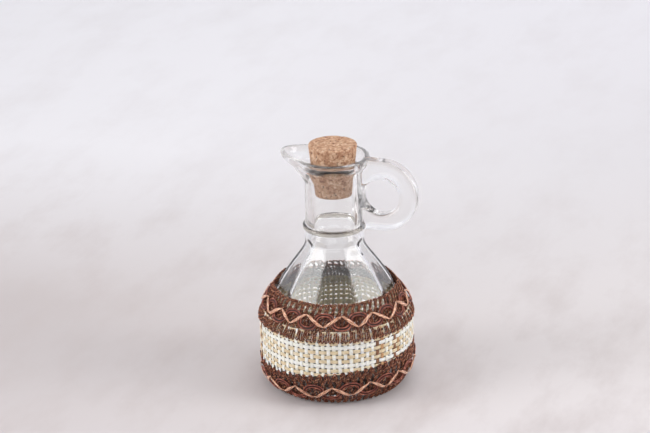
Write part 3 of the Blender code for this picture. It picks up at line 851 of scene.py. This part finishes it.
def ribbon_material():
    """Peach ribbon of loose silk threads that run along it, with painted shade between the threads."""
    nodes = Nodes("peach_satin")
    split = nodes.split("UV")
    skewed = nodes.plus(split["Y"], nodes.times(split["X"], RIBBON_SKEW))
    along = nodes.times(split["X"], 330.0)
    thread_place = nodes.add("ShaderNodeCombineXYZ", X=along, Y=nodes.times(skewed, 13.0))
    threads = nodes.noise(thread_place.outputs[0], 1.0, detail=3.0, roughness=0.65)
    patches = nodes.noise(nodes.place(), 520.0, detail=3.0)
    # The dark streaks of the thread noise are painted shade between the threads
    level = nodes.plus(nodes.times(threads, 0.85), nodes.times(patches, 0.15))
    tones = ((118, 62, 42), (194, 130, 98), (230, 172, 136), (252, 218, 190))
    return nodes.finish(
        Base_Color=nodes.ramp(level, (0.42, 0.48, 0.53, 0.60), tones),
        Roughness=nodes.span(patches, 0.3, 0.5),
        Normal=nodes.bump(threads, 0.00025, 0.9),
        Anisotropic=0.5,
        Sheen_Weight=0.3,
    )


# Glass

def make_glass():
    """The jug as one closed skin, inside and outside."""
    side = BODY_RADIUS + GRID_MARGIN
    low = (-side, -side, -GRID_MARGIN)
    high = (HANDLE_MIDDLE[0] + HANDLE_RADIUS + GRID_MARGIN, side, RIM_HEIGHT + SPOUT_RISE + GRID_MARGIN)
    points, faces = surface_net(jug_distance, low, high, GRID_STEP)
    points = settle(jug_distance, points, faces)
    normals = unit(slope_of(jug_distance, points, 0.00015))
    jug = add_mesh("jug_glass", [glass_material()], points, faces)
    jug.data.normals_split_custom_set_from_vertices(normals)
    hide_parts("glass_jug")
    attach(jug, "jug")


# Cork

def make_cork():
    """The tapered cork, with small pits in its skin."""
    bottom = CORK_SEAT_RADIUS - CORK_TAPER * (FLARE_BOTTOM - CORK_BOTTOM)
    top = CORK_SEAT_RADIUS + CORK_TAPER * (CORK_TOP - FLARE_BOTTOM)
    edge = CORK_EDGE
    corner = 0.3 * edge
    line = [(1e-5, CORK_BOTTOM), (bottom - edge, CORK_BOTTOM), (bottom - corner, CORK_BOTTOM + corner)]
    line += [(bottom, CORK_BOTTOM + edge), (top, CORK_TOP - edge), (top - corner, CORK_TOP - corner)]
    line += [(top - edge, CORK_TOP), (1e-5, CORK_TOP)]
    line = np.array(line)
    lengths = np.concatenate([[0], np.cumsum(np.hypot(*np.diff(line, axis=0).T))])
    along = np.linspace(0, lengths[-1], CORK_ROWS)
    profile = np.stack([np.interp(along, lengths, line[:, 0]), np.interp(along, lengths, line[:, 1])], axis=1)
    tangent = unit(np.gradient(profile, axis=0))
    around = np.linspace(0, TURN, CORK_SIDES, endpoint=False)
    points = turned(profile[:, :1], around, profile[:, 1:])
    normals = turned(tangent[:, 1:], around, -tangent[:, :1])
    depth = np.zeros(points.shape[:2])
    for _ in range(CORK_PITS):
        row = int(RANDOM.integers(2, len(profile) - 2))
        if RANDOM.random() > profile[row, 0] / top:
            continue
        centre = points[row, int(RANDOM.integers(0, len(around)))]
        size = RANDOM.uniform(0.00025, 0.00085)
        away = np.linalg.norm((points - centre) * (1.0, 1.0, RANDOM.uniform(1.0, 1.8)), axis=-1) / size
        depth = np.maximum(depth, RANDOM.uniform(0.00012, 0.00042) * np.exp(-(away ** 3)))
    points = points - depth[..., None] * normals
    faces = tube_faces(CORK_ROWS, CORK_SIDES, closed=False)[0]
    cork = add_mesh("cork_body", [cork_material()], points.reshape(-1, 3), faces.reshape(-1, 4))
    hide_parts("cork_stopper")
    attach(cork, "cork")


# Trims

class Side:
    """The jug's outer side as a line, to place what is glued on it by arc length and by distance off it."""

    def __init__(self):
        steps = np.diff(BODY, axis=0)
        keep = np.concatenate([[True], np.hypot(*steps.T) > 1e-7])
        self.line = BODY[keep]
        steps = np.diff(self.line, axis=0)
        lengths = np.hypot(*steps.T)
        self.arc = np.concatenate([[0.0], np.cumsum(lengths)])
        across = np.stack([steps[:, 1], -steps[:, 0]], axis=1) / lengths[:, None]
        self.normals = unit(np.concatenate([across[:1], across[:-1] + across[1:], across[-1:]]))

    def arc_at(self, height):
        return float(np.interp(height, self.line[:, 1], self.arc))

    def place(self, arc, offset):
        """Radius, height and the normal's two parts at arc lengths, moved off the glass by offset."""
        r, z = (np.interp(arc, self.arc, column) for column in self.line.T)
        out, up = (np.interp(arc, self.arc, column) for column in self.normals.T)
        return r + offset * out, z + offset * up, out, up


SIDE = Side()


class Trim:
    """A braid on the glass. Its upper edge and its pattern can climb round the jug."""

    def __init__(self, start, end, thickness, tilt, pattern_angle, pattern_shift):
        self.start = start
        self.end = end
        self.face = GLUE_GAP + thickness
        self.tilt = tilt
        self.pattern_angle = pattern_angle
        self.pattern_shift = pattern_shift

    def climb(self, angle):
        """How far the upper edge is up at an angle, where the trim slants."""
        return np.maximum(self.tilt * np.cos(angle - LOWER_TILT_ANGLE), -LOWER_DROP)

    def on_glass(self, angle, arc, offset):
        """Points and outward normals at angles and arc lengths. They follow the flats a little way in."""
        radius, height, out, up = SIDE.place(arc, offset)
        flat = facet_factor(height) * FACET_FLAT / np.cos(from_flat(angle))
        radius = radius * (1 - 0.5 * np.maximum(1 - flat, 0) * (height > BAND_TOP))
        return turned(radius, angle, height), turned(out, angle, up)

    def on_face(self, angle, up, lift):
        """Points on the pattern: up from its middle along the face, and lifted off the braid."""
        middle = 0.5 * (self.start + self.end) + self.pattern_shift + LOWER_PATTERN_TILT * self.climb(angle)
        return self.on_glass(angle, middle + up, self.face + lift)


LOWER_END = SIDE.arc_at(BAND_BOTTOM) - GLUE_GAP
LOWER = Trim(LOWER_TRIM_START, LOWER_END, LOWER_THICKNESS, LOWER_TILT, *LOWER_PATTERN)
UPPER_START = SIDE.arc_at(BAND_TOP) + GLUE_GAP
UPPER = Trim(UPPER_START, UPPER_START + UPPER_TRIM_WIDTH, UPPER_THICKNESS, 0.0, *UPPER_PATTERN)


def ring_shape(half, low, top):
    """Offsets sideways in metres, and shares of the width, along one tall narrow loop."""
    leg_points, arch_points = 66, 14
    t = np.linspace(0, 1, leg_points, endpoint=False)
    turn = np.linspace(0, math.pi, arch_points, endpoint=False)
    ease = fade(np.abs(t - 0.5), LOOP_PINCH, LOOP_OPENING)
    spread = half * (LOOP_WAIST + (1 - LOOP_WAIST) * ease * ease * (3 - 2 * ease))
    bend = ARCH_BEND * half
    aside = [-spread, -half * np.cos(turn), spread[::-1], half * np.cos(turn)]
    arch = bend * np.sin(turn)
    share = [low + (top - low) * t, top + arch, top - (top - low) * t, low - arch]
    return np.concatenate(aside), np.concatenate(share)


def loop_rings(prefix, trim, second):
    """The first or second loops of a braid's pairs. Below their arches the two of a pair lean together."""
    parts = []
    toward = -1.0 if second else 1.0
    top_slant, low_slant = SLANT[prefix][int(second)], SLANT[prefix][2 + int(second)]
    for unit_number in range(LOOPS):
        middle = TURN * (unit_number + 0.25 + 0.5 * second) / LOOPS
        low = RANDOM.uniform(-0.005, 0.012)
        top = 1 - RANDOM.uniform(-0.004, 0.006)
        aside, share = ring_shape(LOOP_HALF * RANDOM.uniform(0.85, 1.15), low, top)
        edge = np.clip(np.abs(share - 0.5) * 2, 0, 1)
        from_edge = 0.5 * (1 - edge)
        lean = RANDOM.uniform(-0.0003, 0.0003) * (share - 0.5) * 2
        lean = lean + LOOP_WAVER[prefix] * np.sin(TURN * 2.2 * share + RANDOM.uniform(0, TURN))
        gather = fade(from_edge, *PAIRING_START) * fade(from_edge, PAIRING_REACH[prefix], -PAIRING_FADE)
        pairing = np.where(share > 0.5, *PAIRING[prefix])
        lean = lean + toward * pairing * RANDOM.uniform(0.7, 1.25) * gather
        lean = lean + top_slant * fade(share, 1 - SLANT_SPAN, SLANT_SPAN)
        lean = lean + low_slant * fade(share, SLANT_SPAN, -SLANT_SPAN)
        angle = middle + (aside + lean) / BODY_RADIUS
        start = trim.start + YARN_RADIUS - EDGES_OUT[prefix][0]
        end = trim.end + trim.climb(angle) - YARN_RADIUS + EDGES_OUT[prefix][1]
        offset = trim.face - YARN_RADIUS - LOOP_SINK + LOOP_SINK * fade(edge, *SINK_RANGE)
        offset = offset + EDGE_LIFT * fade(edge, *EDGE_RANGE) - (SECOND_SINK if second else 0.0)
        arc = start + (end - start) * share
        path, out = trim.on_glass(angle, arc, np.maximum(offset, NEAREST_YARN))
        path[:, 2] = np.maximum(path[:, 2], LOWEST_YARN)
        parts += plied(path, out, RANDOM.uniform(0.90, 1.08), 0)
    return parts


def plied(path, out, size, slot):
    """A two-ply yarn along a closed path: the paler ply in slot, the darker in the next. v is 0 outside."""
    sides = 5
    count = len(path)
    steps = np.linalg.norm(np.roll(path, -1, axis=0) - path, axis=1)
    turns = max(1, round(float(steps.sum()) / YARN_LAY))
    along = np.concatenate([[0.0], np.cumsum(steps)[:-1]]) / steps.sum()
    wound = TURN * turns * along + RANDOM.uniform(0, TURN)
    strands = []
    for number in (0, 1):
        helix = (wound + number * math.pi)[:, None]
        around = helix + TURN * np.arange(sides)[None] / sides
        outward = size * (PLY_REACH * np.cos(helix) + PLY_RADIUS * np.cos(around))
        sideways = size * (PLY_REACH * np.sin(helix) + PLY_RADIUS * np.sin(around))
        section = np.stack([outward, sideways], axis=-1)
        strands.append(swept(path, out, section, closed=True, slot=slot + number))
    return strands


def make_braid(prefix, trim, materials):
    """Pairs of tall loops side by side, and a finer fringe that fills the middle."""
    first = loop_rings(prefix, trim, False)
    second = loop_rings(prefix, trim, True)
    per_leg, legs = 24, FRINGE_LEGS[prefix]
    place = np.arange(legs * per_leg) / per_leg
    leg = np.floor(place)
    rise = 0.5 - 0.5 * np.cos(math.pi * np.clip(place - leg, 0, 1))
    swing = np.where(leg % 2 == 0, rise, 1 - rise)
    step = np.clip((place - leg - 0.5) * 1.2, -0.5, 0.5) ** 3 * 4 + 0.5
    angle = TURN * (leg + step) / legs
    angle = angle + FRINGE_WAVER / BODY_RADIUS * np.sin(TURN * (3 * swing + 0.38 * place))
    low, high = FRINGE_SPANS[prefix]
    middle = low + (high - low) * swing
    end = trim.end + trim.climb(angle)
    arc = trim.start + (end - trim.start) * middle
    path, out = trim.on_glass(angle, arc, FRINGE_OFFSET + FRINGE_ROUGHNESS * np.sin(13 * leg))
    path[:, 2] = np.maximum(path[:, 2], LOWEST_YARN)
    fringe = plied(path, out, FRINGE_SIZE, 2)
    for name, parts in (("first_loops", first), ("second_loops", second), ("fringe", fringe)):
        braid = add_mesh(f"{prefix}_braid_{name}", materials, *joined(parts))
        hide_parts(f"{prefix}_braid")
        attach(braid, "jug")


def scroll_path(trim, side, lift):
    """One strand of the scroll round a trim. side is +1 for the upper strand and -1 for the lower."""
    turn = TURN * np.arange(SCROLLS * CORD_STEPS) / CORD_STEPS
    radius = trim.on_face(np.zeros(1), np.zeros(1), lift)[0][0, 0]
    run = radius * (1 + 2 * CORD_ROUNDNESS * np.cos(2 * turn)) / SCROLLS
    rise = CORD_SWING * np.sin(turn)
    shift = 0.5 * side * CORD_SPACING / np.hypot(run, rise)
    angle = trim.pattern_angle + (turn + CORD_ROUNDNESS * np.sin(2 * turn)) / SCROLLS
    up = -CORD_SWING * np.cos(turn)
    return trim.on_face(angle - shift * rise / radius, up + shift * run, lift)


def make_cords(prefix, trim, materials):
    """The two silk-wrapped cords of the scroll, with a dark strip under the gap between them that paints the
    shadow the cords cast.
    """
    for strand, side in (("a", 1), ("b", -1)):
        path, out = scroll_path(trim, side, CORD_LIFT + 0.5 * CORD_DIAMETER)
        section = ring_section(len(path), 8, 0.5 * CORD_DIAMETER, 0.53 * CORD_DIAMETER)
        parts = [swept(path, out, section, closed=True)]
        if side == 1:
            # A dark strip under the gap between the cords: painted shadow
            path, out = scroll_path(trim, 0, SHADOW_STRIP_LIFT)
            section = ring_section(len(path), 6, 0.5 * SHADOW_STRIP_THICKNESS, 0.5 * CORD_SPACING)
            parts.append(swept(path, out, section, closed=True, slot=1))
        name = f"{prefix}_scroll_cord_{strand}"
        cord = add_mesh(f"{prefix}_gimp_{strand}", materials, *joined(parts))
        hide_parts(name)
        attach(cord, "jug")


def make_ribbon(prefix, trim, material):
    """The satin ribbon that zigzags over the cords, broad in the middle of a leg and pinched at its folds."""
    per_leg = 24
    place = np.arange(2 * SCROLLS * per_leg) / per_leg
    leg = np.floor(place)
    share = place - leg
    folds = 2 * SCROLLS
    here = leg.astype(int)
    onward = (here + 1) % folds
    height = RIBBON_SWING * (-1.0) ** np.arange(folds) * RANDOM.uniform(0.86, 1.10, folds)
    shift = RANDOM.uniform(-0.10, 0.10, folds)
    weight = 0.5 - 0.5 * (0.35 * np.cos(math.pi * share) + 0.65 * (1 - 2 * share))
    shifted = place + (1 - share) * shift[here] + share * shift[onward]
    angle = trim.pattern_angle + math.pi * shifted / SCROLLS
    up = (1 - weight) * height[here] + weight * height[onward]
    high = np.clip(np.sin(math.pi * share) * 2.2, 0, 1)
    high = high * high * (3 - 2 * high)
    lift = RIBBON_LIFT + CORD_DIAMETER * high
    path, out = trim.on_face(angle, up, lift)
    breadth = RANDOM.uniform(0.80, 1.12, folds)[here]
    ragged = np.convolve(RANDOM.uniform(0.78, 1.16, len(place) + 2), np.full(3, 1 / 3), "valid")
    width = RIBBON_FOLD + (RIBBON_MIDDLE * breadth - RIBBON_FOLD) * np.sin(math.pi * share) ** 0.9
    half = 0.5 * ragged * width
    section = ring_section(len(path), 12, 0.5 * RIBBON_THICKNESS, 1.0, squareness=0.8)
    section[..., 1] *= half[:, None]
    crown = RIBBON_CROWN * np.sin(math.pi * share)
    section[..., 0] += crown[:, None] * (1 - (section[..., 1] / half[:, None]) ** 2)
    ribbon = add_mesh(f"{prefix}_satin", [material], *joined([swept(path, out, section, closed=True)]))
    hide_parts(f"{prefix}_ribbon")
    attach(ribbon, "jug")


# Straw

def lower_edge(angle):
    """Height of the lower trim's upper edge on the straw's outer side."""
    return SIDE.place(LOWER.end + LOWER.climb(angle), LOWER.face)[1]


def weave_radius(height):
    """The straw's middle radius. Its top leans in with the glass, under the upper trim."""
    return WEAVE_RADIUS - BODY_RADIUS + np.interp(height, BODY[:, 1], BODY[:, 0])


def taper_ends(section):
    """Draws a strip's first and last ring almost to a point."""
    section[0] *= TAPER
    section[-1] *= TAPER


def straw_parts():
    """The weft rows and the warp strips, each as a list of swept parts."""
    steps = WARPS * 8
    angle = TURN * np.arange(steps) / steps
    edge = lower_edge(angle) + 0.0001
    weft, warp = [], []
    for row in range(WEFT_ROWS):
        middle = WEFT_TOP - (row + 0.5) * WEFT_PITCH
        waver = 0.00006 * np.sin(7 * angle + row) + 0.00005 * np.sin(17 * angle + 2 * row)
        low = np.maximum(middle - 0.5 * WEFT_WIDTH + waver, edge)
        high = middle + 0.5 * WEFT_WIDTH + waver
        shown = high - low > 0.0003
        radius = weave_radius(middle) + WEAVE_DEPTH * np.cos(0.5 * WARPS * angle + math.pi * row)
        centre = 0.5 * (low + high)
        path, out = turned(radius, angle, centre), turned(1.0, angle, 0.0)
        section = ring_section(steps, 8, 0.5 * STRIP_THICKNESS, 1.0, math.pi / 8, 0.7)
        section[..., 1] *= 0.5 * (high - low)[:, None]
        if shown.all():
            weft.append(swept(path, out, section, True, WEFT_COLOURS[row]))
        elif shown.any():
            first = int(np.nonzero(shown & ~np.roll(shown, 1))[0][0])
            order = (first + np.arange(int(shown.sum()))) % steps
            section = section[order]
            taper_ends(section)
            weft.append(swept(path[order], out[order], section, False, WEFT_COLOURS[row]))
    tints = {int(round(math.radians(a) * WARPS / TURN)) % WARPS: c for a, c in TINTED_WARPS.items()}
    for i in range(WARPS):
        a = TURN * i / WARPS
        bottom = float(lower_edge(np.array([a]))[0]) - 0.0004
        height = np.arange(bottom, WARP_TOP, WARP_STEP)
        cycle = math.pi * (WEFT_TOP - 0.5 * WEFT_PITCH - height) / WEFT_PITCH
        radius = weave_radius(height) - WEAVE_DEPTH * np.cos(cycle) * (-1.0) ** i
        lean = WARP_LEAN * np.sin(0.7 * i) * (height - 0.028) / 0.01
        path, out = turned(radius, a + lean, height), turned(1.0, a + lean, 0.0)
        width = WARP_WIDTH * RANDOM.uniform(0.93, 1.04)
        section = ring_section(len(height), 10, 0.5 * STRIP_THICKNESS, 0.5 * width, math.pi / 10, 0.7)
        crease = np.exp(-((section[..., 1] / CREASE_HALF) ** 2)) * (section[..., 0] > 0)
        section[..., 0] -= CREASE_DEPTH * crease
        taper_ends(section)
        warp.append(swept(path, out, section, False, tints.get(i, 0)))
    return weft, warp


def make_straw():
    """The woven band's weft rows and warp strips."""
    materials = [straw_material(name, tones) for name, tones in STRAW_TONES.items()]
    weft_parts, warp_parts = straw_parts()
    for name, parts in (("straw_weft", weft_parts), ("straw_warp", warp_parts)):
        piece = add_mesh(name, materials, *joined(parts))
        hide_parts("woven_band")
        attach(piece, "jug")


# Setting

def make_floor():
    """A wide pale floor that turns up into a backdrop behind, all in one sheet."""
    nodes = Nodes("pale_floor")
    split = nodes.split("Object")
    # Painted light and shade on the floor: a little darker just behind the jug and brighter towards the
    # backdrop
    depth = nodes.span(split["Y"], 0.0, 1.0, -0.1, 0.8)
    tones = ((221, 215, 216), (216, 210, 210), (218, 215, 218), (234, 232, 238))
    colour = nodes.ramp(depth, (0.0, 0.2, 0.52, 1.0), tones)
    # Painted shadow on the near left of the floor, and painted light on its far left
    left = nodes.span(split["X"], 0.75, 0.0, -0.22, 0.12)
    near = nodes.span(split["Y"], 1.0, 0.08, 0.06, 0.32)
    colour = nodes.mix(nodes.times(left, near), colour, shade(188, 180, 180))
    colour = nodes.mix(nodes.times(left, nodes.minus(1.0, near)), colour, shade(240, 239, 243))
    stains = nodes.noise(nodes.place(scale=(1.0, 0.45, 1.0)), 24.0, detail=7.0, roughness=0.62)
    stain_share = nodes.span(split["Y"], 0.70, 0.14, 0.06, 0.32)
    stained = nodes.times(nodes.span(stains, 0.0, 1.0, 0.46, 0.72), stain_share)
    grain = nodes.noise(nodes.place(), 900.0, detail=2.0)
    # Painted light: the floor glows for camera, glossy and transmission rays, more strongly behind the jug
    rays = nodes.add("ShaderNodeLightPath").outputs
    seen = nodes.math("MAXIMUM", rays["Is Camera Ray"], rays["Is Glossy Ray"])
    seen = nodes.math("MAXIMUM", seen, rays["Is Transmission Ray"])
    behind = nodes.span(split["Y"], 0.0, 0.10, 0.20, 0.70)
    beyond = nodes.span(split["Y"], 0.0, 0.35, 0.70, 2.0)
    material = nodes.finish(
        Base_Color=nodes.mix(stained, colour, shade(194, 185, 184)),
        Roughness=nodes.span(grain, 0.75, 0.9),
        Specular_IOR_Level=0.2,
        Emission_Color=(0.96, 0.95, 1.0, 1.0),
        Emission_Strength=nodes.times(seen, nodes.plus(behind, beyond)),
    )
    bend = np.linspace(0.1, 0.5 * math.pi, 14)
    flat = np.concatenate([[-4.0], np.linspace(-1, BACKDROP_START, 9)])
    ys = np.concatenate([flat, BACKDROP_START + BACKDROP_ROUNDING * np.sin(bend)])
    zs = np.concatenate([np.zeros(len(flat)), BACKDROP_ROUNDING * (1 - np.cos(bend))])
    ys, zs = np.append(ys, ys[-1]), np.append(zs, BACKDROP_TOP)
    edges = [np.stack([np.full_like(ys, x), ys, zs], axis=1) for x in (-FLOOR_HALF_WIDTH, FLOOR_HALF_WIDTH)]
    count = len(ys)
    faces = np.array([(i, i + count, i + count + 1, i + 1) for i in range(count - 1)])
    floor = add_mesh("floor_sweep", [material], np.concatenate(edges), faces)


def add_panel(name, azimuth, elevation, distance, size, strength):
    """A soft light panel that faces the jug. Azimuth is measured from the camera, rightwards."""
    data = bpy.data.lights.new(name, "AREA")
    data.shape = "RECTANGLE"
    data.size, data.size_y = size
    data.energy = strength * size[0] * size[1] * math.pi
    away = direction(math.radians(azimuth) + VIEW_AZIMUTH, math.radians(elevation))
    panel = linked(name, data)
    facing = away.to_track_quat("Z", "Y").to_matrix().to_4x4()
    panel.matrix_world = Matrix.Translation(LIGHT_AIM + away * distance) @ facing


def make_lights():
    """Four panels, and a soft world that is brighter where glass and gloss show it."""
    for name, values in PANELS.items():
        add_panel(name, *values)
    nodes = Nodes("studio", world=True)
    sky = nodes.ramp(nodes.split("Generated")["Z"], (0.0, 0.75), WORLD_TINTS)
    rays = nodes.add("ShaderNodeLightPath").outputs
    seen = nodes.math("MAXIMUM", rays["Is Glossy Ray"], rays["Is Transmission Ray"])
    bpy.context.scene.world = nodes.finish(Color=sky, Strength=nodes.span(seen, WORLD_LIGHT, WORLD_SEEN))


def main():
    """Makes the camera, the setting and every piece."""
    make_camera()
    make_floor()
    make_lights()
    make_glass()
    make_cork()
    yarns = [yarn_material(name, tones) for name, tones in YARN_TONES.items()]
    gimps = [gimp_material(name, tones) for name, tones in GIMP_TONES.items()]
    satin = ribbon_material()
    for prefix, trim in (("upper", UPPER), ("lower", LOWER)):
        make_braid(prefix, trim, yarns)
        make_cords(prefix, trim, gimps)
        make_ribbon(prefix, trim, satin)
    make_straw()
    bounces = bpy.context.scene.cycles
    bounces.max_bounces = 32
    bounces.transmission_bounces = 32
    bounces.glossy_bounces = 16
    bounces.diffuse_bounces = 8
    bpy.context.scene.view_settings.view_transform = "Standard"


main()
